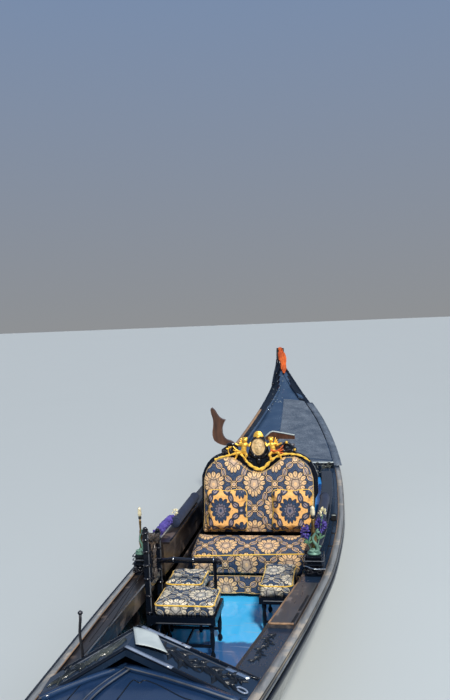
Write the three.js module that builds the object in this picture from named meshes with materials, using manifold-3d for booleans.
// A gondola boat afloat: a long asymmetric flat-bottomed hull with its decks, seats and fittings.
// Sizes are millimetres. +X is port, +Y is towards the stern and +Z is up.
// The origin lies at the waterline, at mid-length, on the straight line from stem to stern.

import * as THREE from "three";
import { mergeVertices } from "three/addons/utils/BufferGeometryUtils.js";
import Module from "manifold-3d";

const wasm = await Module();
wasm.setup();

// Clearance between pieces that touch
const GAP = 0.4;

// Hull lines

// The smooth lines are sampled at this spacing along the hull
const STEP = 250;

// Half-breadths at the gunwale and at the chine on each side, and the heights of the gunwale and the bottom
const HULL = table(
  ["y", "port", "starboard", "sheer", "chinePort", "chineStarboard", "bottom"],
  [
    [-5060, 40, 40, 1118, 22, 22, 760],
    [-4800, 100, 100, 1030, 48, 48, 475],
    [-4400, 185, 180, 930, 90, 88, 240],
    [-3600, 310, 300, 785, 172, 160, 40],
    [-2800, 432, 402, 665, 262, 238, -75],
    [-1900, 565, 494, 554, 350, 322, -145],
    [-1000, 691, 550, 482, 430, 386, -185],
    [0, 794, 586, 422, 492, 425, -200],
    [1000, 833, 577, 411, 520, 430, -195],
    [2000, 815, 529, 441, 495, 400, -160],
    [3000, 732, 431, 547, 415, 318, -80],
    [4000, 548, 275, 749, 265, 188, 90],
    [4800, 258, 128, 1018, 105, 66, 440],
    [5250, 40, 40, 1276, 22, 22, 960],
  ],
);
const HULL_START = HULL[0].y;
const HULL_END = HULL.at(-1).y;

const PLANK = 22;
const BOTTOM_PLANK = 25;
const BOTTOM_STRIPS = [
  { name: "fore", from: HULL_START, to: -2250 },
  { name: "mid", from: -2250 + GAP, to: 2500 },
  { name: "aft", from: 2500 + GAP, to: HULL_END },
];
const SIDE_BULGE = 16;
const GUNWALE = { height: 30, proud: 10, inboard: 38 };

// Decks
const DECK = { drop: 6, thickness: 16, columns: 4 };
const CROWN = table(
  ["y", "height"],
  [
    [-5060, 4],
    [-4500, 18],
    [-2000, 42],
    [2500, 46],
    [4000, 44],
    [5250, 6],
  ],
);
// The seam where the two halves of each deck meet
const RIDGE = table(
  ["y", "x"],
  [
    [-5060, 0],
    [-3600, -40],
    [-1970, -128],
    [2556, 92],
    [3200, 88],
    [4300, 62],
    [5250, 0],
  ],
);
const DECK_END = 40;
// Aft edge of the chevron that closes the foredeck, and its depth towards the bow
const CHEVRON = {
  apex: { x: -110, y: -1780, z: 690 },
  port: { x: 620, y: -2085, z: 556 },
  starboard: { x: -560, y: -2255, z: 556 },
  depth: 250,
  height: 34,
  lip: 40,
  lipDepth: 160,
};
const SIDE_DECK = { drop: 14, thickness: 18, end: 2530 };
// Inboard edges of the side decks
const WELL = table(
  ["y", "port", "starboard"],
  [
    [-2300, 320, 395],
    [-1730, 400, 432],
    [-1330, 458, 440],
    [-550, 572, 449],
    [-250, 612, 449],
    [100, 645, 432],
    [800, 668, 430],
    [1300, 672, 430],
    [2000, 650, 412],
    [2600, 606, 372],
  ],
);
const BOARD = { thickness: 18, depth: 120, start: -1950, end: -330 };
const COAMING = {
  port: { start: -240, capInboard: 22, capOutboard: 76 },
  starboard: { start: -85, capInboard: 66, capOutboard: 22 },
  end: 2100,
  top: 545,
  depth: 110,
  capHeight: 16,
};
const RAISED_PLANK = { start: -1330, end: -600, height: 26, outboard: 6, inboard: 4 };
const FLOOR = { top: -70, thickness: 22, joint: -335, start: -2285, end: 2515, edge: 40 };
const RIBS = { first: -2250, spacing: 400, count: 12, width: 34, depth: 38 };
const KEELSON = { x: 40, halfWidth: 45 };
const FORE_BULKHEAD = { y: -2320, thickness: 20 };
const STERN_BULKHEAD = { y: 2534, thickness: 18 };
const STERN_DECK_START = 2556;
const PLATFORM = { start: 1500, end: 2530, top: 380, thickness: 18 };

// Stem and stern posts: side profiles as centre points and widths
const POST_HALF = 14;
const STEM = table(
  ["y", "z", "width"],
  [
    [-4150, 190, 80],
    [-4420, 290, 110],
    [-4690, 432, 120],
    [-4920, 640, 124],
    [-5080, 860, 124],
    [-5160, 1040, 120],
    [-5182, 1182, 116],
  ],
);
const STERN_POST = table(
  ["y", "z", "width"],
  [
    [4480, 290, 90],
    [4760, 470, 120],
    [4990, 690, 126],
    [5160, 930, 122],
    [5290, 1180, 104],
    [5368, 1370, 78],
    [5414, 1530, 54],
  ],
);

// Bow iron: a comb of six forward teeth, one aft tooth and a curved blade above
const BOW_IRON = {
  thickness: 12,
  teeth: 6,
  toothPitch: 70,
  toothHeight: 42,
  firstTooth: 852,
  toothRoot: -5330,
  toothTip: -5450,
};
const HORN = { half: 37, x: -POST_HALF - GAP - 36, proud: 10, low: 1286, high: 1556 };

// Cloth over the front of the horn, down to the tip of the deck: middle line and half width
const WRAP = table(
  ["y", "z", "x", "half"],
  [
    [5379, 1541, -35, 26],
    [5322, 1388, 0, 46],
    [5285, 1315, 10, 36],
    [5250, 1281, 18, 34],
    [5200, 1252, 24, 30],
    [5150, 1239, 30, 24],
    [5095, 1206, 33, 12],
  ],
);
const WRAP_THICKNESS = 14;

// Raised planks along the edges of the stern deck, and the rower's foot wedge
const QUARTER_PLANKS = {
  port: { from: 4560, to: 5150, width: 62 },
  starboard: { from: 3300, to: 5150, width: 96 },
};
const QUARTER_PLANK_HEIGHT = 20;
const FOOT_WEDGE = { x: 50, y: 2960, length: 250, depth: 70, height: 74 };

// Oar rest and its socket on the starboard quarter
const OAR_REST = {
  y: 3050,
  x: -392,
  shankHalfX: 15,
  shankHalfY: 30,
  shankDepth: 50,
  socketWall: 20,
  socketRise: 64,
  clearance: 0.35,
  thickness: 56,
  lift: 0.12,
};

// Sofa
const SOFA = {
  x: 115,
  halfWidth: 458,
  front: 440,
  seatBack: 800,
  seatBottom: 108,
  seatEdge: 286,
  seatRear: 372,
  skirtThickness: 28,
  skirtBottom: -38,
  skirtFoot: 482,
  baseFront: 600,
  baseBack: 985,
  baseEnd: 498,
};
const BACK = {
  x: 165,
  halfWidth: 470,
  lean: 0.19,
  foot: 345,
  footY: 812,
  cushion: 105,
  board: 32,
  shoulder: 780,
  hump: 965,
  humpAt: 262,
  dip: 850,
  columns: 41,
  boardEdge: 12,
};
const CREST = { x: 166, first: 7, last: 33, thickness: 30, top: 1118, hill: 0.27 };
const MEDALLION = { radiusX: 62, radiusZ: 76, z: 1023, thickness: 16, segments: 24 };
const SHELL = { radiusX: 38, radiusZ: 44, z: 1097 };
const PUTTO = { offset: 124, foot: 932, head: 1090 };
const THROW = { width: 350, height: 345, thickness: 82, bottom: 376, xs: { starboard: -83, port: 446 } };

// Chair and stools
const LEG = { radius: 17, segments: 8, inset: 34 };
const CHAIR = {
  ...{ x0: -388, x1: 36, y0: -600, y1: -262 },
  ...{ railTop: 218, railHeight: 52, seatTop: 302, backTop: 792, backTopAft: 690 },
};
const STOOLS = {
  port: { x0: 262, x1: 512, y0: -205, y1: 225, railTop: 196, railHeight: 44, seatTop: 292 },
  starboard: { x0: -402, x1: -122, y0: -205, y1: 95, railTop: 196, railHeight: 44, seatTop: 292 },
};

// Fittings
const BOLSTER = {
  port: { radius: 40, start: 320 },
  starboard: { radius: 42, start: 240 },
  end: 1000,
  segments: 12,
};
const ORNAMENTS = {
  port: { x: 664, y: -330, half: 62 },
  starboard: { x: -500, y: -370, half: 50 },
};
const PEDESTAL = { height: 136 };
const VASE = { height: 322, radius: 44, segments: 14 };
const MAT = { start: 2750, end: 4500, inset: 14, thickness: 6 };

const SIDES = { port: 1, starboard: -1 };

// Tables and lines

function table(columns, rows) {
  return rows.map((row) => Object.fromEntries(columns.map((name, i) => [name, row[i]])));
}

// A smooth line through one column of a table: cubic pieces that never overshoot their ends
function smoothLine(rows, column) {
  const slope = (i) => (rows[i + 1][column] - rows[i][column]) / (rows[i + 1].y - rows[i].y);
  const tangents = rows.map((_, i) => {
    if (i === 0) return slope(0);
    if (i === rows.length - 1) return slope(i - 1);
    const [a, b] = [slope(i - 1), slope(i)];
    return a * b <= 0 ? 0 : (2 * a * b) / (a + b);
  });
  return (y) => {
    let i = rows.findIndex((row) => row.y >= y) - 1;
    i = Math.min(Math.max(i, 0), rows.length - 2);
    const span = rows[i + 1].y - rows[i].y;
    const t = (y - rows[i].y) / span;
    const [t2, t3] = [t * t, t * t * t];
    return (
      (2 * t3 - 3 * t2 + 1) * rows[i][column] +
      (t3 - 2 * t2 + t) * span * tangents[i] +
      (3 * t2 - 2 * t3) * rows[i + 1][column] +
      (t3 - t2) * span * tangents[i + 1]
    );
  };
}

// The same line as straight pieces between stations, so that neighbours share it exactly
function lineOf(rows, column) {
  const smooth = smoothLine(rows, column);
  const [start, end] = [rows[0].y, rows.at(-1).y];
  return (y) => {
    const cell = Math.floor(y / STEP);
    const low = Math.max(cell * STEP, start);
    const high = Math.min((cell + 1) * STEP, end);
    if (high <= low) return smooth(y);
    return THREE.MathUtils.lerp(smooth(low), smooth(high), (y - low) / (high - low));
  };
}

function stations(from, to) {
  const list = [from];
  for (let y = Math.ceil((from + 1) / STEP) * STEP; y < to - 1; y += STEP) list.push(y);
  list.push(to);
  return list;
}

const half = { port: lineOf(HULL, "port"), starboard: lineOf(HULL, "starboard") };
const chine = { port: lineOf(HULL, "chinePort"), starboard: lineOf(HULL, "chineStarboard") };
const sheer = lineOf(HULL, "sheer");
const bottom = lineOf(HULL, "bottom");
const crown = lineOf(CROWN, "height");
const ridge = lineOf(RIDGE, "x");
const wellEdge = { port: lineOf(WELL, "port"), starboard: lineOf(WELL, "starboard") };

// Solids

function vec(x, y, z) {
  return new THREE.Vector3(x, y, z);
}

function solidOf(geometry) {
  const bare = geometry.clone();
  bare.deleteAttribute("normal");
  bare.deleteAttribute("uv");
  const merged = mergeVertices(bare, 1e-3);
  const solid = new wasm.Manifold(
    new wasm.Mesh({
      numProp: 3,
      vertProperties: merged.attributes.position.array,
      triVerts: new Uint32Array(merged.index.array),
    }),
  );
  return solid;
}

function geometryOf(solid) {
  const mesh = solid.getMesh();
  const geometry = new THREE.BufferGeometry();
  geometry.setAttribute("position", new THREE.BufferAttribute(new Float32Array(mesh.vertProperties), 3));
  geometry.setIndex(new THREE.BufferAttribute(new Uint32Array(mesh.triVerts), 1));
  return geometry;
}

function join(first, ...others) {
  return geometryOf(others.reduce((sum, piece) => sum.add(solidOf(piece)), solidOf(first)));
}

function cut(piece, ...tools) {
  return geometryOf(tools.reduce((rest, tool) => rest.subtract(solidOf(tool)), solidOf(piece)));
}

function common(piece, ...others) {
  return geometryOf(others.reduce((rest, other) => rest.intersect(solidOf(other)), solidOf(piece)));
}

// Turns the faces of a closed geometry outwards
function outward(geometry) {
  const position = geometry.attributes.position;
  const index = geometry.index.array;
  const [a, b, c] = [vec(), vec(), vec()];
  let volume = 0;
  for (let i = 0; i < index.length; i += 3) {
    a.fromBufferAttribute(position, index[i]);
    b.fromBufferAttribute(position, index[i + 1]);
    c.fromBufferAttribute(position, index[i + 2]);
    volume += a.dot(b.cross(c));
  }
  if (volume < 0) {
    for (let i = 0; i < index.length; i += 3) [index[i + 1], index[i + 2]] = [index[i + 2], index[i + 1]];
  }
  return geometry;
}

// A closed solid between two like grids of points, such as the top and the underside of a deck
function slab(upper, lower) {
  const rows = upper.length;
  const columns = upper[0].length;
  const positions = [...upper.flat(), ...lower.flat()].flatMap((p) => [p.x, p.y, p.z]);
  const at = (layer, i, j) => (layer * rows + i) * columns + j;
  const index = [];
  const quad = (a, b, c, d) => index.push(a, b, c, a, c, d);
  for (let i = 0; i < rows - 1; i++) {
    for (let j = 0; j < columns - 1; j++) {
      quad(at(0, i, j), at(0, i + 1, j), at(0, i + 1, j + 1), at(0, i, j + 1));
      quad(at(1, i, j), at(1, i, j + 1), at(1, i + 1, j + 1), at(1, i + 1, j));
    }
    const last = columns - 1;
    quad(at(0, i, 0), at(1, i, 0), at(1, i + 1, 0), at(0, i + 1, 0));
    quad(at(0, i, last), at(0, i + 1, last), at(1, i + 1, last), at(1, i, last));
  }
  for (let j = 0; j < columns - 1; j++) {
    const last = rows - 1;
    quad(at(0, 0, j), at(0, 0, j + 1), at(1, 0, j + 1), at(1, 0, j));
    quad(at(0, last, j), at(1, last, j), at(1, last, j + 1), at(0, last, j + 1));
  }
  const geometry = new THREE.BufferGeometry();
  geometry.setAttribute("position", new THREE.Float32BufferAttribute(positions, 3));
  geometry.setIndex(index);
  return outward(geometry);
}

function box(x0, x1, y0, y1, z0, z1) {
  const geometry = new THREE.BoxGeometry(x1 - x0, y1 - y0, z1 - z0);
  return geometry.translate((x0 + x1) / 2, (y0 + y1) / 2, (z0 + z1) / 2);
}

// A prism over a plan outline given as [x, y] corners
function prism(corners, z0, z1) {
  const shape = new THREE.Shape(corners.map(([x, y]) => new THREE.Vector2(x, y)));
  return new THREE.ExtrudeGeometry(shape, { depth: z1 - z0, bevelEnabled: false }).translate(0, 0, z0);
}

// A turned piece standing on z = 0, from [radius, height] pairs that start and end on the axis
function turned(profile, segments) {
  const points = profile.map(([r, z]) => new THREE.Vector2(r, z));
  const lathe = new THREE.LatheGeometry(points, segments);
  lathe.deleteAttribute("uv");
  lathe.deleteAttribute("normal");
  return outward(mergeVertices(lathe, 1e-3).rotateX(Math.PI / 2));
}

function roundedRectangle(width, depth, radius) {
  const [w, d] = [width / 2 - radius, depth / 2 - radius];
  const shape = new THREE.Shape();
  shape.absarc(w, -d, radius, -Math.PI / 2, 0);
  shape.absarc(w, d, radius, 0, Math.PI / 2);
  shape.absarc(-w, d, radius, Math.PI / 2, Math.PI);
  shape.absarc(-w, -d, radius, Math.PI, Math.PI * 1.5);
  return shape;
}

// A soft block with rounded corners and bevelled edges, centred in plan, standing on z = 0
function pad(width, depth, height, corner, bevel) {
  return new THREE.ExtrudeGeometry(roundedRectangle(width - 2 * bevel, depth - 2 * bevel, corner), {
    depth: height - 2 * bevel,
    bevelThickness: bevel,
    bevelSize: bevel,
    bevelSegments: 2,
    curveSegments: 3,
  }).translate(0, 0, bevel);
}

function ellipsoid(radius, centre) {
  const ball = new THREE.SphereGeometry(1, 10, 7).scale(radius.x, radius.y, radius.z);
  return ball.translate(centre.x, centre.y, centre.z);
}

// Hull pieces

// Corners of the side at one station, from the gunwale to the chine, set inwards from the outer face
function wall(side, y, inset) {
  const [x0, x2] = [half[side](y), chine[side](y)];
  const [z0, z2] = [sheer(y) - GUNWALE.height - GAP, bottom(y) + BOTTOM_PLANK + GAP];
  const bulge = SIDE_BULGE * Math.min(1, x0 / 300);
  return [
    [x0, z0],
    [(x0 + x2) / 2 + bulge, (z0 + z2) / 2],
    [x2, z2],
  ].map(([x, z]) => vec(SIDES[side] * Math.max(x - inset, 1), y, z));
}

function sidePlanking(side, grow = 0) {
  const rows = stations(HULL_START, HULL_END);
  return slab(
    rows.map((y) => wall(side, y, -grow)),
    rows.map((y) => wall(side, y, PLANK + grow)),
  );
}

// The space between the sides, set inwards from the outer faces
function interior(inset, from = HULL_START, to = HULL_END) {
  const rows = stations(from, to);
  return slab(
    rows.map((y) => wall("port", y, inset)),
    rows.map((y) => wall("starboard", y, inset)),
  );
}

function bottomPlanking({ from, to }) {
  const rows = stations(from, to);
  const row = (y, lift) => [
    vec(-chine.starboard(y), y, bottom(y) + lift),
    vec(0, y, bottom(y) + lift),
    vec(chine.port(y), y, bottom(y) + lift),
  ];
  return slab(
    rows.map((y) => row(y, BOTTOM_PLANK)),
    rows.map((y) => row(y, 0)),
  );
}

function post(profile, grow = 0, halfWidth = POST_HALF, from = 0, to = profile.length - 1, proud = 0) {
  const centres = new THREE.CatmullRomCurve3(profile.map((p) => vec(0, p.y, p.z)));
  const last = profile.length - 1;
  const count = 2 * (to - from);
  const edges = Array.from({ length: Math.round(count) + 1 }, (_, k) => {
    const at = from + ((to - from) * k) / Math.round(count);
    const point = centres.getPoint(at / last);
    const tangent = centres.getTangent(at / last);
    const i = Math.min(Math.floor(at), last - 1);
    const width = THREE.MathUtils.lerp(profile[i].width, profile[i + 1].width, at - i) / 2 + grow + proud;
    const normal = vec(0, -tangent.z, tangent.y);
    const shift = k === 0 ? -grow : k === Math.round(count) ? grow : 0;
    const centre = point.addScaledVector(tangent, shift);
    return [centre.clone().addScaledVector(normal, width), centre.clone().addScaledVector(normal, -width)];
  });
  const layer = (x) => edges.map((row) => row.map((p) => vec(x, p.y, p.z)));
  return slab(layer(halfWidth + grow), layer(-halfWidth - grow));
}

function gunwale(side, grow = 0) {
  const rows = stations(HULL_START, HULL_END);
  const row = (y, z) => [
    vec(SIDES[side] * Math.max(half[side](y) - GUNWALE.inboard - grow, 1), y, z),
    vec(SIDES[side] * (half[side](y) + GUNWALE.proud + grow), y, z),
  ];
  return slab(
    rows.map((y) => row(y, sheer(y) + grow)),
    rows.map((y) => row(y, sheer(y) - GUNWALE.height - grow)),
  );
}

function frames() {
  const reach = 1000;
  const ribs = Array.from({ length: RIBS.count }, (_, i) => {
    const y = RIBS.first + i * RIBS.spacing;
    return box(-reach, reach, y, y + RIBS.width, -reach, reach);
  });
  const end = RIBS.first + (RIBS.count - 1) * RIBS.spacing + RIBS.width;
  const floorUnderside = FLOOR.top - FLOOR.thickness - GAP;
  const keelson = box(
    KEELSON.x - KEELSON.halfWidth,
    KEELSON.x + KEELSON.halfWidth,
    RIBS.first,
    end,
    -reach,
    floorUnderside,
  );
  const whole = join(ribs[0], ...ribs.slice(1), keelson);
  const room = common(
    interior(PLANK + RIBS.depth, RIBS.first - STEP, end + STEP),
    box(-reach, reach, RIBS.first - STEP, end + STEP, floorUnderside, reach),
  );
  const rows = stations(RIBS.first - STEP, end + STEP);
  const row = (y, z) => [vec(-reach, y, z), vec(reach, y, z)];
  const underDecks = slab(
    rows.map((y) => row(y, sheer(y) - SIDE_DECK.drop - SIDE_DECK.thickness - 2)),
    rows.map((y) => row(y, -reach)),
  );
  const fitted = common(whole, interior(PLANK + GAP), underDecks);
  return cut(fitted, room, boardTool("port"), boardTool("starboard"));
}

// The room that the boards along the side decks take up
function boardTool(side) {
  const rows = stations(-2400, 2450);
  const row = (y, z) => [
    vec(SIDES[side] * (wellEdge[side](y) - BOARD.thickness - 3), y, z),
    vec(SIDES[side] * (wellEdge[side](y) + 2), y, z),
  ];
  return slab(
    rows.map((y) => row(y, 1200)),
    rows.map((y) => row(y, sheer(y) - SIDE_DECK.drop - BOARD.depth - 3)),
  );
}

function floorPanel(from, to) {
  const reach = 1000;
  return common(
    box(-reach, reach, from, to, FLOOR.top - FLOOR.thickness, FLOOR.top),
    interior(PLANK + FLOOR.edge),
  );
}

// Deck pieces

function deckRow(side, y, lift, grow = 0) {
  const edge = SIDES[side] * Math.max(half[side](y) - GUNWALE.inboard - GAP, 2);
  const middle = ridge(y) + (SIDES[side] * GAP) / 2;
  const row = Array.from({ length: DECK.columns }, (_, j) => {
    const u = j / (DECK.columns - 1);
    const rise = crown(y) * Math.sin((u * Math.PI) / 2);
    return vec(THREE.MathUtils.lerp(edge, middle, u), y, sheer(y) - DECK.drop + rise + lift);
  });
  if (grow === 0) return row;
  // A strip beyond each edge at the edge's own height
  const shift = SIDES[side] * grow;
  const [first, last] = [row[0], row.at(-1)];
  return [vec(first.x + shift, y, first.z), ...row, vec(last.x - shift, y, last.z)];
}

function deckHalf(side, from, to, lift = 0, thickness = DECK.thickness, grow = 0) {
  const rows = stations(from, to);
  return slab(
    rows.map((y) => deckRow(side, y, lift, grow)),
    rows.map((y) => deckRow(side, y, lift - thickness, grow)),
  );
}

// Plan region forward of the chevron's aft edge, moved aft by a distance
function chevronRegion(shift) {
  const far = -6000;
  const { apex, port, starboard } = CHEVRON;
  const armY = (end, x) => end.y + ((end.y - apex.y) / (end.x - apex.x)) * (x - end.x) + shift;
  return prism(
    [
      [-1000, far],
      [1000, far],
      [1000, armY(port, 1000)],
      [apex.x, apex.y + shift],
      [-1000, armY(starboard, -1000)],
    ],
    -1000,
    2000,
  );
}

function foredeck(side) {
  return common(deckHalf(side, HULL_START + DECK_END, -1700), chevronRegion(-GAP));
}

function deckTool(side, from, to) {
  return deckHalf(side, from, to, 2 * GAP, 500, 1);
}

// One arm of the chevron: a board with a deep lip along its aft edge, scribed to the foredeck
function chevronArm(side) {
  const { apex, depth, height, lip, lipDepth } = CHEVRON;
  const end = CHEVRON[side];
  const split = (SIDES[side] * GAP) / 2;
  const section = [
    [0, -lipDepth],
    [lip, -lipDepth],
    [lip + 2, -height],
    [depth, -height],
  ];
  const row = (t, lifts) =>
    section.map(([back], i) => {
      const x = THREE.MathUtils.lerp(apex.x + split, end.x, t);
      const y = THREE.MathUtils.lerp(apex.y, end.y, t) - back;
      return vec(x, y, THREE.MathUtils.lerp(apex.z, end.z, t) + lifts[i]);
    });
  const flat = section.map(() => 0);
  const under = section.map(([, drop]) => drop);
  return cut(
    slab([row(0, flat), row(1, flat)], [row(0, under), row(1, under)]),
    deckTool("port", -3000, -1700),
    deckTool("starboard", -3000, -1700),
    outboardTool("port"),
    outboardTool("starboard"),
  );
}

// Everything outboard of the gunwale's inner face
function outboardTool(side) {
  const rows = stations(-3000, -1500);
  const row = (y, z) => [
    vec(SIDES[side] * (half[side](y) - GUNWALE.inboard - GAP), y, z),
    vec(SIDES[side] * 1200, y, z),
  ];
  return slab(
    rows.map((y) => row(y, 1200)),
    rows.map((y) => row(y, -400)),
  );
}

function sideDeckRow(side, y, lift, grow = 0) {
  return [
    vec(SIDES[side] * (wellEdge[side](y) - grow), y, sheer(y) - SIDE_DECK.drop + lift),
    vec(SIDES[side] * (half[side](y) - GUNWALE.inboard - GAP + grow), y, sheer(y) - SIDE_DECK.drop + lift),
  ];
}

function sideDeck(side) {
  const rows = stations(-2290, SIDE_DECK.end);
  const deck = slab(
    rows.map((y) => sideDeckRow(side, y, 0)),
    rows.map((y) => sideDeckRow(side, y, -SIDE_DECK.thickness)),
  );
  return cut(deck, chevronRegion(GAP));
}

// A board that stands along the inboard edge of a side deck
function edgeBoard(side, from, to, topAt, bottomAt) {
  const rows = stations(from, to);
  const row = (y, z) => [
    vec(SIDES[side] * (wellEdge[side](y) - BOARD.thickness - GAP), y, z),
    vec(SIDES[side] * (wellEdge[side](y) - GAP), y, z),
  ];
  return slab(
    rows.map((y) => row(y, topAt(y))),
    rows.map((y) => row(y, bottomAt(y))),
  );
}

function innerBoard(side) {
  const top = (y) => sheer(y) - SIDE_DECK.drop;
  return edgeBoard(side, BOARD.start, BOARD.end, top, (y) => top(y) - BOARD.depth);
}

function coaming(side) {
  const { start, capInboard, capOutboard } = COAMING[side];
  const board = edgeBoard(
    side,
    start,
    COAMING.end,
    () => COAMING.top - 1,
    (y) => sheer(y) - SIDE_DECK.drop - COAMING.depth,
  );
  const rows = stations(start, COAMING.end);
  const row = (y, z) => [
    vec(SIDES[side] * (wellEdge[side](y) - capInboard), y, z),
    vec(SIDES[side] * (wellEdge[side](y) + capOutboard), y, z),
  ];
  const cap = slab(
    rows.map((y) => row(y, COAMING.top)),
    rows.map((y) => row(y, COAMING.top - COAMING.capHeight)),
  );
  return join(board, cap);
}

function raisedPlank() {
  const rows = stations(RAISED_PLANK.start, RAISED_PLANK.end);
  const row = (y, lift) => [
    vec(wellEdge.port(y) + RAISED_PLANK.inboard, y, sheer(y) - SIDE_DECK.drop + lift),
    vec(half.port(y) - GUNWALE.inboard - GAP - RAISED_PLANK.outboard, y, sheer(y) - SIDE_DECK.drop + lift),
  ];
  return slab(
    rows.map((y) => row(y, GAP + RAISED_PLANK.height)),
    rows.map((y) => row(y, GAP)),
  );
}

function aftPlatform() {
  const rows = stations(PLATFORM.start, PLATFORM.end);
  const inset = BOARD.thickness + 2 * GAP;
  const row = (y, z) => [
    vec(-(wellEdge.starboard(y) - inset), y, z),
    vec(wellEdge.port(y) - inset, y, z),
  ];
  const top = slab(
    rows.map((y) => row(y, PLATFORM.top)),
    rows.map((y) => row(y, PLATFORM.top - PLATFORM.thickness)),
  );
  const riser = common(
    box(-1000, 1000, PLATFORM.start, PLATFORM.start + PLATFORM.thickness, FLOOR.top + GAP, PLATFORM.top - 1),
    interior(PLANK + RIBS.depth + 2),
    slab(
      rows.map((y) => row(y, 1000)),
      rows.map((y) => row(y, -1000)),
    ),
  );
  return join(top, riser);
}

function foreBulkhead() {
  const y = FORE_BULKHEAD.y;
  return cut(
    common(box(-1000, 1000, y, y + FORE_BULKHEAD.thickness, -1000, 2000), interior(PLANK + GAP)),
    deckHalf("port", y - STEP, y + STEP, GAP + 100, DECK.thickness + 2 * GAP + 100, 50),
    deckHalf("starboard", y - STEP, y + STEP, GAP + 100, DECK.thickness + 2 * GAP + 100, 50),
  );
}

function sternBulkhead() {
  const y = STERN_BULKHEAD.y;
  const slice = box(-1000, 1000, y, y + STERN_BULKHEAD.thickness, -1000, 2000);
  const rows = [y - 20, y + 40];
  const row = (at, z) => [
    vec(-(half.starboard(at) - GUNWALE.inboard - 2 * GAP), at, z),
    vec(half.port(at) - GUNWALE.inboard - 2 * GAP, at, z),
  ];
  const upper = slab(
    rows.map((at) => row(at, sheer(at) + 200)),
    rows.map((at) => row(at, sheer(at) - GUNWALE.height - 14)),
  );
  const whole = join(common(slice, interior(PLANK + GAP)), common(slice, upper));
  return cut(
    whole,
    deckHalf("port", y - STEP, y + STEP, 400, DECK.thickness + 400 + GAP, 50),
    deckHalf("starboard", y - STEP, y + STEP, 400, DECK.thickness + 400 + GAP, 50),
  );
}

// Irons and posts

function bowIron() {
  const { teeth, toothPitch, toothHeight, firstTooth, toothRoot, toothTip, thickness } = BOW_IRON;
  const shape = new THREE.Shape();
  shape.moveTo(-4470, 205);
  shape.quadraticCurveTo(-4960, 380, -5210, 700);
  shape.quadraticCurveTo(-5290, 790, toothRoot, firstTooth - 40);
  for (let k = 0; k < teeth; k++) {
    const z = firstTooth + k * toothPitch;
    shape.lineTo(toothRoot - k * 0.5, z);
    shape.lineTo(toothTip, z + 1);
    shape.lineTo(toothTip + 1, z + toothHeight);
    shape.lineTo(toothRoot - k * 0.5 - 0.2, z + toothHeight - 1);
  }
  const top = firstTooth + (teeth - 1) * toothPitch + toothHeight;
  shape.quadraticCurveTo(toothRoot + 20, top + 45, -5385, top + 90);
  shape.quadraticCurveTo(-5450, top + 140, -5440, top + 235);
  shape.quadraticCurveTo(-5290, top + 262, -5225, top + 150);
  shape.quadraticCurveTo(-5190, top + 80, -5222, top + 12);
  shape.lineTo(-5105, top + 8);
  shape.lineTo(-5106, top - 30);
  shape.lineTo(-5236, top - 34);
  shape.lineTo(-5180, 1100);
  shape.lineTo(-5060, 820);
  shape.lineTo(-4880, 600);
  shape.lineTo(-4640, 410);
  const plate = new THREE.ExtrudeGeometry(shape, { depth: thickness, bevelEnabled: false, curveSegments: 6 });
  // The outline lies in the plane of y and z
  plate.applyMatrix4(new THREE.Matrix4().makeBasis(vec(0, 1, 0), vec(0, 0, 1), vec(1, 0, 0)));
  plate.translate(-thickness / 2, 0, 0);
  return cut(plate, post(STEM, GAP), gunwale("port", GAP), gunwale("starboard", GAP));
}

// The stern post with a thicker upper end to starboard
function sternHorn(grow = 0) {
  const { half: size, x, proud, low, high } = HORN;
  const piece = post(STERN_POST, grow, size, 4, STERN_POST.length - 1, proud);
  const below = box(-200, 200, 4500, 5600, 900, low - grow);
  const above = box(-200, 200, 4500, 5600, high, 1800);
  return join(post(STERN_POST, grow), cut(piece.translate(x, 0, 0), below, above));
}

function sternWrap() {
  const last = WRAP.length - 1;
  const layer = (lift) =>
    WRAP.map((at, i) => {
      const [before, after] = [WRAP[Math.max(i - 1, 0)], WRAP[Math.min(i + 1, last)]];
      const out = vec(0, after.z - before.z, before.y - after.y).setLength(lift);
      return [at.x - at.half, at.x + at.half].map((x) => vec(x, at.y, at.z).add(out));
    });
  const cloth = slab(layer(WRAP_THICKNESS), layer(GAP));
  return cut(cloth, sternHorn(GAP), gunwale("port", GAP), gunwale("starboard", GAP));
}

// A low plank along the edge of the stern deck
function quarterPlank(side) {
  const { from, to, width } = QUARTER_PLANKS[side];
  const sign = SIDES[side];
  const edges = (y, lift) => {
    const outer = half[side](y) - GUNWALE.inboard - 2;
    const inner = Math.max(outer - width, sign * ridge(y) + 3);
    const low = sheer(y) - DECK.drop;
    return [vec(sign * inner, y, low + crown(y) * 0.7 + lift), vec(sign * outer, y, low + lift)];
  };
  const rows = stations(from, to);
  return slab(
    rows.map((y) => edges(y, QUARTER_PLANK_HEIGHT)),
    rows.map((y) => edges(y, -DECK.thickness / 2)),
  );
}

function sternDeck(side) {
  return join(deckHalf(side, STERN_DECK_START, HULL_END - DECK_END), quarterPlank(side));
}

// A low wedge on the stern deck for the rower's foot
function footWedge() {
  const { x, y, height, length, depth } = FOOT_WEDGE;
  const low = sheer(y) - 20;
  const top = sheer(y) - DECK.drop + crown(y) + height;
  const outline = new THREE.Shape();
  outline.moveTo(0, low);
  outline.lineTo(0, top - 30);
  outline.quadraticCurveTo(length * 0.12, top + 4, length * 0.3, top);
  outline.lineTo(length, top - 22);
  outline.lineTo(length, low);
  const block = new THREE.ExtrudeGeometry(outline, { depth, bevelEnabled: false, curveSegments: 5 });
  block.rotateX(Math.PI / 2);
  block.translate(x, y + depth, 0);
  return cut(block, deckTool("port", y - 400, y + 600), deckTool("starboard", y - 400, y + 600));
}

// Oar rest

function oarRestTop() {
  return sheer(OAR_REST.y) + OAR_REST.socketRise;
}

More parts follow.
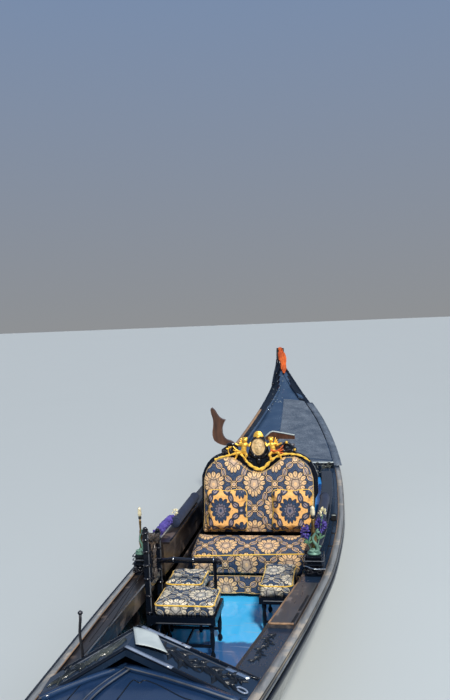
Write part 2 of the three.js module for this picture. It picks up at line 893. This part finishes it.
function oarRest() {
  const { x, y, shankHalfX, shankHalfY, shankDepth, thickness } = OAR_REST;
  const top = oarRestTop();
  const shank = box(
    x - shankHalfX,
    x + shankHalfX,
    y - shankHalfY,
    y + shankHalfY,
    top - shankDepth,
    top + 30,
  );
  const shape = new THREE.Shape();
  shape.moveTo(28, 0.35);
  shape.quadraticCurveTo(20, 50, -60, 66);
  shape.quadraticCurveTo(-118, 92, -112, 190);
  shape.quadraticCurveTo(-106, 240, -70, 292);
  shape.quadraticCurveTo(-130, 300, -160, 352);
  shape.quadraticCurveTo(-192, 420, -222, 432);
  shape.quadraticCurveTo(-240, 420, -222, 352);
  shape.quadraticCurveTo(-198, 300, -212, 210);
  shape.quadraticCurveTo(-236, 120, -202, 62);
  shape.quadraticCurveTo(-150, 10, -40, 0.35);
  const body = new THREE.ExtrudeGeometry(shape, { depth: thickness, bevelEnabled: false, curveSegments: 4 });
  body.rotateX(Math.PI / 2);
  body.translate(x, y + thickness / 2, top);
  return join(shank, body);
}

function oarRestSocket() {
  const { x, y, shankHalfX, shankHalfY, shankDepth, socketWall, clearance } = OAR_REST;
  const top = oarRestTop();
  const [halfX, halfY] = [shankHalfX + clearance, shankHalfY + clearance];
  const block = box(
    x - halfX - socketWall,
    x + halfX + socketWall,
    y - halfY - socketWall * 2,
    y + halfY + socketWall * 2,
    sheer(y) - 18,
    top,
  );
  const hole = box(x - halfX, x + halfX, y - halfY, y + halfY, top - shankDepth - 2, top + 50);
  return cut(block, deckTool("starboard", 2750, 3500), hole, gunwale("starboard", GAP));
}

// Sofa pieces

// Height of the double-humped top of the sofa back
function backTop(x) {
  const u = Math.min(Math.abs(x - BACK.x), BACK.halfWidth);
  if (u <= BACK.humpAt) {
    const t = (1 - Math.cos((Math.PI * u) / BACK.humpAt)) / 2;
    return THREE.MathUtils.lerp(BACK.dip, BACK.hump, t);
  }
  const t = (u - BACK.humpAt) / (BACK.halfWidth - BACK.humpAt);
  return THREE.MathUtils.lerp(BACK.shoulder, BACK.hump, Math.sqrt(Math.max(1 - t * t, 0)));
}

function backY(z) {
  return BACK.footY + (z - BACK.foot) * BACK.lean;
}

// A leaning panel between two heights that follow x, at evenly spaced columns
function leaningPanel(xs, low, high, offset, thickness) {
  const layer = (shift) => xs.map((x) => [low(x), high(x)].map((z) => vec(x, backY(z) + shift, z)));
  return slab(layer(offset), layer(offset + thickness));
}

function backColumns(halfWidth, columns) {
  return Array.from({ length: columns }, (_, i) => BACK.x - halfWidth + (2 * halfWidth * i) / (columns - 1));
}

const BOARD_COLUMNS = backColumns(BACK.halfWidth + BACK.boardEdge, BACK.columns);

function sofaBoard() {
  // The foot is narrower than the top, to clear the flaring side of the hull
  const low = (x) => {
    if (x <= 470) return FLOOR.top + 2;
    const flare = THREE.MathUtils.clamp(THREE.MathUtils.mapLinear(x, 470, 600, 150, 380), 150, 560);
    return x > 606 ? flare + 185 : flare;
  };
  return leaningPanel(BOARD_COLUMNS, low, (x) => backTop(x) + BACK.boardEdge, GAP, BACK.board);
}

function sofaBackCushion() {
  const xs = backColumns(BACK.halfWidth, BACK.columns);
  return leaningPanel(xs, () => BACK.foot, backTop, -BACK.cushion, BACK.cushion);
}

function crest() {
  const xs = BOARD_COLUMNS.slice(CREST.first, CREST.last + 1);
  const reach = (xs.at(-1) - xs[0]) / 2;
  const top = (x) => {
    const u = Math.abs(x - CREST.x) / reach;
    const low = backTop(x) + 30;
    const hill = Math.exp(-((u / CREST.hill) ** 4));
    const scroll = 52 * Math.exp(-(((u - 0.72) / 0.24) ** 2));
    return Math.max(THREE.MathUtils.lerp(low + scroll, CREST.top, hill), low);
  };
  return leaningPanel(xs, (x) => backTop(x) + BACK.boardEdge + 1, top, GAP, CREST.thickness);
}

// Turns a piece drawn upright about y = 0 so that it lies against the leaning back at a height
function ontoBack(geometry, x, z, offset) {
  const angle = -Math.atan(BACK.lean);
  return geometry.rotateX(angle).translate(x, backY(z) + offset, z);
}

function medallion() {
  const { radiusX, radiusZ, thickness, segments, z } = MEDALLION;
  const disc = new THREE.CylinderGeometry(1, 1, thickness, segments).scale(radiusX, 1, radiusZ);
  return ontoBack(disc, CREST.x, z, -thickness / 2 - 0.05);
}

function crestShell() {
  const { radiusX, radiusZ, z } = SHELL;
  const dome = common(
    ellipsoid(vec(radiusX, 34, radiusZ), vec(0, 0, 0)),
    box(-200, 200, -200, 0, 0, 200),
  );
  return ontoBack(dome, CREST.x, z, -0.05);
}

function putto(side) {
  const lean = SIDES[side];
  const x = CREST.x + lean * PUTTO.offset;
  const torso = (PUTTO.foot + PUTTO.head) / 2;
  const parts = [
    ellipsoid(vec(24, 20, 48), vec(0, -20.1, 0)),
    ellipsoid(vec(20, 19, 21), vec(-lean * 6, -19.1, PUTTO.head - torso - 20)),
    ellipsoid(vec(18, 16, 44), vec(lean * 22, -16.1, -44)),
    ellipsoid(vec(16, 14, 34), vec(-lean * 8, -14.1, -56)),
    ellipsoid(vec(34, 12, 12), vec(lean * 26, -12.1, 22)),
  ];
  return ontoBack(join(...parts), x, torso, 0);
}

function throwCushion(side) {
  const { width, height, thickness, bottom: low, xs } = THROW;
  const soft = pad(width, height, thickness, 26, 22);
  // The pad stands on its edge with its back against the leaning cushion
  soft.rotateX(Math.PI / 2);
  const z = low + height / 2;
  return ontoBack(soft, xs[side], z, -BACK.cushion - 1);
}

function sofaSeat() {
  const { x, halfWidth, front, seatBack, seatBottom, seatEdge, seatRear } = SOFA;
  const bevel = 22;
  const low = seatBottom + GAP;
  const side = new THREE.Shape();
  side.moveTo(front + bevel, low + bevel);
  side.lineTo(front + bevel, seatEdge - 40);
  side.quadraticCurveTo(front + bevel, seatEdge - 8, front + 70, seatEdge + 6);
  side.quadraticCurveTo(front + 180, seatRear - bevel - 12, front + 270, seatRear - bevel);
  side.lineTo(seatBack - bevel, seatRear - bevel);
  side.lineTo(seatBack - bevel, low + bevel);
  const soft = new THREE.ExtrudeGeometry(side, {
    depth: 2 * (halfWidth - bevel),
    bevelThickness: bevel,
    bevelSize: bevel,
    bevelSegments: 2,
    curveSegments: 4,
  });
  soft.applyMatrix4(new THREE.Matrix4().makeBasis(vec(0, 1, 0), vec(0, 0, 1), vec(1, 0, 0)));
  soft.translate(x - halfWidth + bevel, 0, 0);
  const wide = backColumns(BACK.halfWidth + 60, 2);
  const behind = leaningPanel(wide, () => 100, () => 700, -BACK.cushion - 1, 400);
  return cut(soft, behind);
}

function sofaSkirt() {
  const { x, halfWidth, front, skirtThickness, skirtBottom, skirtFoot, seatBottom } = SOFA;
  const layer = (y) => [
    [vec(x - halfWidth + 8, y, seatBottom), vec(x + halfWidth - 8, y, seatBottom)],
    [vec(x - halfWidth + 8, y, skirtBottom), vec(skirtFoot, y, skirtBottom)],
  ];
  return slab(layer(front + 4), layer(front + 4 + skirtThickness));
}

function sofaBase() {
  const { x, halfWidth, baseFront, seatBottom, baseBack, baseEnd } = SOFA;
  const body = box(
    x - halfWidth + 30,
    baseEnd,
    baseFront,
    baseBack,
    FLOOR.top + GAP,
    seatBottom - GAP,
  );
  const board = leaningPanel(backColumns(BACK.halfWidth + 60, 2), () => FLOOR.top - 20, () => 400, -GAP, 400);
  return cut(body, board);
}

// Chair and stools

const LEG_PROFILE = [
  [0, 0],
  [0.55, 0],
  [1, 0.07],
  [0.95, 0.13],
  [0.5, 0.19],
  [0.8, 0.32],
  [0.95, 0.5],
  [0.75, 0.68],
  [1.05, 0.78],
  [1.05, 1],
  [0, 1],
];

function leg(x, y, height) {
  const profile = LEG_PROFILE.map(([r, z]) => [r * LEG.radius, z * height]);
  return turned(profile, LEG.segments).translate(x, y, FLOOR.top + GAP);
}

function seatFrame({ x0, x1, y0, y1, railTop, railHeight }) {
  const inset = LEG.inset;
  const height = railTop - railHeight / 2 - FLOOR.top;
  const corners = [
    [x0 + inset, y0 + inset],
    [x1 - inset, y0 + inset],
    [x1 - inset, y1 - inset],
    [x0 + inset, y1 - inset],
  ];
  const legs = corners.map(([x, y]) => leg(x, y, height));
  const rails = box(x0 + 4, x1 - 4, y0 + 4, y1 - 4, railTop - railHeight, railTop);
  const low = FLOOR.top + 78;
  const bars = [
    box(x0 + inset, x1 - inset, y0 + inset - 7, y0 + inset + 7, low, low + 16),
    box(x0 + inset, x1 - inset, y1 - inset - 7, y1 - inset + 7, low, low + 16),
    box((x0 + x1) / 2 - 7, (x0 + x1) / 2 + 7, y0 + inset, y1 - inset, low, low + 16),
  ];
  return [rails, ...legs, ...bars];
}

function seatCushion({ x0, x1, y0, y1, railTop, seatTop }) {
  const soft = pad(x1 - x0, y1 - y0, seatTop - railTop - GAP, 24, 14);
  return soft.translate((x0 + x1) / 2, (y0 + y1) / 2, railTop + GAP);
}

function chairFrame() {
  const { x0, y0, y1, backTop: top, backTopAft, railTop, railHeight } = CHAIR;
  const postWidth = 30;
  const x = x0 - postWidth - 4;
  const posts = [
    [y0 + 4, top],
    [y1 - postWidth - 4, backTopAft],
  ].map(([y, height]) => box(x, x + postWidth, y, y + postWidth, railTop - railHeight - 12, height));
  const link = box(x + 2, x0 + 8, y0 + 6, y1 - 6, railTop - railHeight, railTop - 4);
  const middle = (y0 + y1) / 2;
  // The top rail comes down towards the arm
  const railRow = (y, z) => [vec(x + 4, y, z), vec(x + postWidth - 4, y, z)];
  const topRail = slab(
    [railRow(y0 + 10, top - 20), railRow(y1 - 10, backTopAft - 20)],
    [railRow(y0 + 10, top - 90), railRow(y1 - 10, backTopAft - 90)],
  );
  const back = [
    topRail,
    box(x + 4, x + postWidth - 4, y0 + 10, y1 - 10, 380, 420),
    box(x + 7, x + postWidth - 7, middle - 60, middle + 60, 400, (top + backTopAft) / 2 - 60),
  ];
  const armY = y1 - postWidth / 2 - 4;
  const arm = box(x + 4, x0 + 400, armY - 17, armY + 17, 470, 494);
  const support = turned(
    LEG_PROFILE.map(([r, z]) => [r * 14, z * (480 - railTop + 10)]),
    LEG.segments,
  ).translate(x0 + 372, armY, railTop - 10);
  return join(...seatFrame(CHAIR), ...posts, link, ...back, arm, support);
}

function chairCushion() {
  const soft = seatCushion(CHAIR);
  const { x0, y1 } = CHAIR;
  const armY = y1 - 19;
  const notch = box(x0 + 350, x0 + 394, armY - 22, armY + 22, 0, 600);
  return cut(soft, notch);
}

// Fittings

function bolster(side) {
  const { radius, start } = BOLSTER[side];
  const { capInboard, capOutboard } = COAMING[side];
  const rows = stations(start, BOLSTER.end);
  const z = COAMING.top + GAP + radius - 1;
  const shift = (capOutboard - capInboard) / 2;
  const points = rows.map((y) => vec(SIDES[side] * (wellEdge[side](y) + shift), y, z));
  const section = new THREE.Shape();
  section.absarc(0, 0, radius, 0, Math.PI * 2);
  const soft = new THREE.ExtrudeGeometry(section, {
    steps: 8,
    curveSegments: BOLSTER.segments,
    extrudePath: new THREE.CatmullRomCurve3(points),
    bevelEnabled: false,
  });
  return cut(soft, box(-2000, 2000, -2000, 3000, 0, COAMING.top + GAP));
}

function pedestal(side) {
  const { x, y, half: size } = ORNAMENTS[side];
  const { height } = PEDESTAL;
  const low = sheer(y) - SIDE_DECK.drop - 20;
  const base = deckSeat(side, y);
  const steps = [
    box(x - size, x + size, y - size, y + size, low, base + 40),
    box(x - size + 14, x + size - 14, y - size + 14, y + size - 14, base + 39, base + 66),
    box(x - size + 4, x + size - 4, y - size + 4, y + size - 4, base + 65, base + 84),
    box(x - size + 14, x + size - 14, y - size + 14, y + size - 14, base + 83, base + height),
  ];
  return cut(join(...steps), sideDeckUnder(side), gunwale(side, GAP));
}

function deckSeat(side, y) {
  return sheer(y) - SIDE_DECK.drop;
}

// The side deck with all below it
function sideDeckUnder(side) {
  const rows = stations(-2290, SIDE_DECK.end);
  return slab(
    rows.map((y) => sideDeckRow(side, y, GAP, 80)),
    rows.map((y) => sideDeckRow(side, y, -300, 80)),
  );
}

const VASE_PROFILE = [
  [0, 0],
  [0.95, 0],
  [0.95, 0.05],
  [0.4, 0.12],
  [0.42, 0.2],
  [0.95, 0.38],
  [1, 0.5],
  [0.8, 0.62],
  [0.38, 0.74],
  [0.4, 0.84],
  [0.72, 0.98],
  [0.68, 1],
  [0, 1],
];

function vase(side) {
  const { x, y } = ORNAMENTS[side];
  const profile = VASE_PROFILE.map(([r, z]) => [r * VASE.radius, z * VASE.height]);
  return turned(profile, VASE.segments).translate(x, y, deckSeat(side, y) + PEDESTAL.height + GAP);
}

function deckMat() {
  const rows = stations(MAT.start, MAT.end);
  const row = (y, lift) =>
    deckRow("port", y, lift).map((p, j, all) => {
      const inset = j === 0 ? -MAT.inset : j === all.length - 1 ? MAT.inset : 0;
      return vec(p.x + inset, p.y, p.z);
    });
  const mat = slab(
    rows.map((y) => row(y, MAT.thickness)),
    rows.map((y) => row(y, -2)),
  );
  const { x, y, length, depth } = FOOT_WEDGE;
  const wedge = box(x - 1, x + length + 1, y - 1, y + depth + 1, 0, 1000);
  return cut(mat, deckTool("port", MAT.start - STEP, MAT.end + STEP), wedge);
}

// Assembly

const FINISH = {
  blackPaint: { color: 0x14161c, roughness: 0.25, metalness: 0 },
  bottomPaint: { color: 0x202428, roughness: 0.6, metalness: 0 },
  wornRail: { color: 0x8d8f8f, roughness: 0.55, metalness: 0 },
  blueFloor: { color: 0x4fa5ea, roughness: 0.12, metalness: 0 },
  oldVarnish: { color: 0x2a1d16, roughness: 0.45, metalness: 0 },
  walnut: { color: 0x4a2c1c, roughness: 0.4, metalness: 0 },
  steel: { color: 0xb8bcc0, roughness: 0.25, metalness: 1 },
  brocade: { color: 0x3c4866, roughness: 0.85, metalness: 0 },
  goldBrocade: { color: 0xd9913a, roughness: 0.8, metalness: 0 },
  gilt: { color: 0xd9a528, roughness: 0.3, metalness: 1 },
  ivory: { color: 0xe8dcb4, roughness: 0.4, metalness: 0 },
  verdigris: { color: 0x7fae9a, roughness: 0.5, metalness: 0.4 },
  blueCloth: { color: 0x1c2c54, roughness: 0.8, metalness: 0 },
  orangeCloth: { color: 0xd5581d, roughness: 0.85, metalness: 0 },
  deckMat: { color: 0x4a5466, roughness: 0.9, metalness: 0 },
};

const boat = new THREE.Group();
boat.name = "gondola";
const materials = Object.fromEntries(
  Object.entries(FINISH).map(([name, values]) => [name, new THREE.MeshStandardMaterial(values)]),
);

function add(name, finish, geometry) {
  const mesh = new THREE.Mesh(geometry, materials[finish]);
  mesh.name = name;
  boat.add(mesh);
}

const posts = [post(STEM, GAP), post(STERN_POST, GAP)];

for (const strip of BOTTOM_STRIPS) {
  add(`bottom_planking_${strip.name}`, "bottomPaint", cut(bottomPlanking(strip), ...posts));
}
add("stem_post", "blackPaint", post(STEM));
add("stern_post", "blackPaint", sternHorn());
add("frames", "oldVarnish", frames());
add("floor_fore", "blueFloor", floorPanel(FLOOR.start, FLOOR.joint));
add("floor_aft", "blueFloor", floorPanel(FLOOR.joint + 3, FLOOR.end));
add("bulkhead_fore", "blackPaint", foreBulkhead());
add("bulkhead_stern", "blackPaint", sternBulkhead());
add("platform_aft", "blackPaint", aftPlatform());
add("plank_raised", "blackPaint", raisedPlank());

for (const side of Object.keys(SIDES)) {
  add(`side_${side}`, "blackPaint", cut(sidePlanking(side), ...posts));
  add(`gunwale_${side}`, "wornRail", cut(gunwale(side), ...posts));
  add(`foredeck_${side}`, "blackPaint", cut(foredeck(side), ...posts));
  add(`chevron_${side}`, "blackPaint", chevronArm(side));
  add(`side_deck_${side}`, "blackPaint", sideDeck(side));
  add(`inner_board_${side}`, "oldVarnish", innerBoard(side));
  add(`coaming_${side}`, "blackPaint", coaming(side));
  add(`stern_deck_${side}`, "blackPaint", cut(sternDeck(side), ...posts));
  add(`bolster_${side}`, "blueCloth", bolster(side));
  add(`pedestal_${side}`, "blackPaint", pedestal(side));
  add(`vase_${side}`, "verdigris", vase(side));
  add(`throw_cushion_${side}`, "goldBrocade", throwCushion(side));
  add(`putto_${side}`, "gilt", putto(side));
  add(`stool_${side}_frame`, "blackPaint", join(...seatFrame(STOOLS[side])));
  add(`stool_${side}_cushion`, "brocade", seatCushion(STOOLS[side]));
}

add("bow_iron", "steel", bowIron());
add("stern_wrap", "orangeCloth", sternWrap());
add("foot_wedge", "walnut", footWedge());
add("oar_rest_socket", "blackPaint", oarRestSocket());
add("oar_rest", "walnut", oarRest());
add("deck_mat", "deckMat", deckMat());
add("sofa_base", "blackPaint", sofaBase());
add("sofa_skirt", "brocade", sofaSkirt());
add("sofa_seat", "brocade", sofaSeat());
add("sofa_back_board", "blackPaint", sofaBoard());
add("sofa_back_cushion", "brocade", sofaBackCushion());
add("crest", "blackPaint", crest());
add("crest_shell", "gilt", crestShell());
add("medallion", "ivory", medallion());
add("chair_frame", "blackPaint", chairFrame());
add("chair_cushion", "brocade", chairCushion());

export default boat;
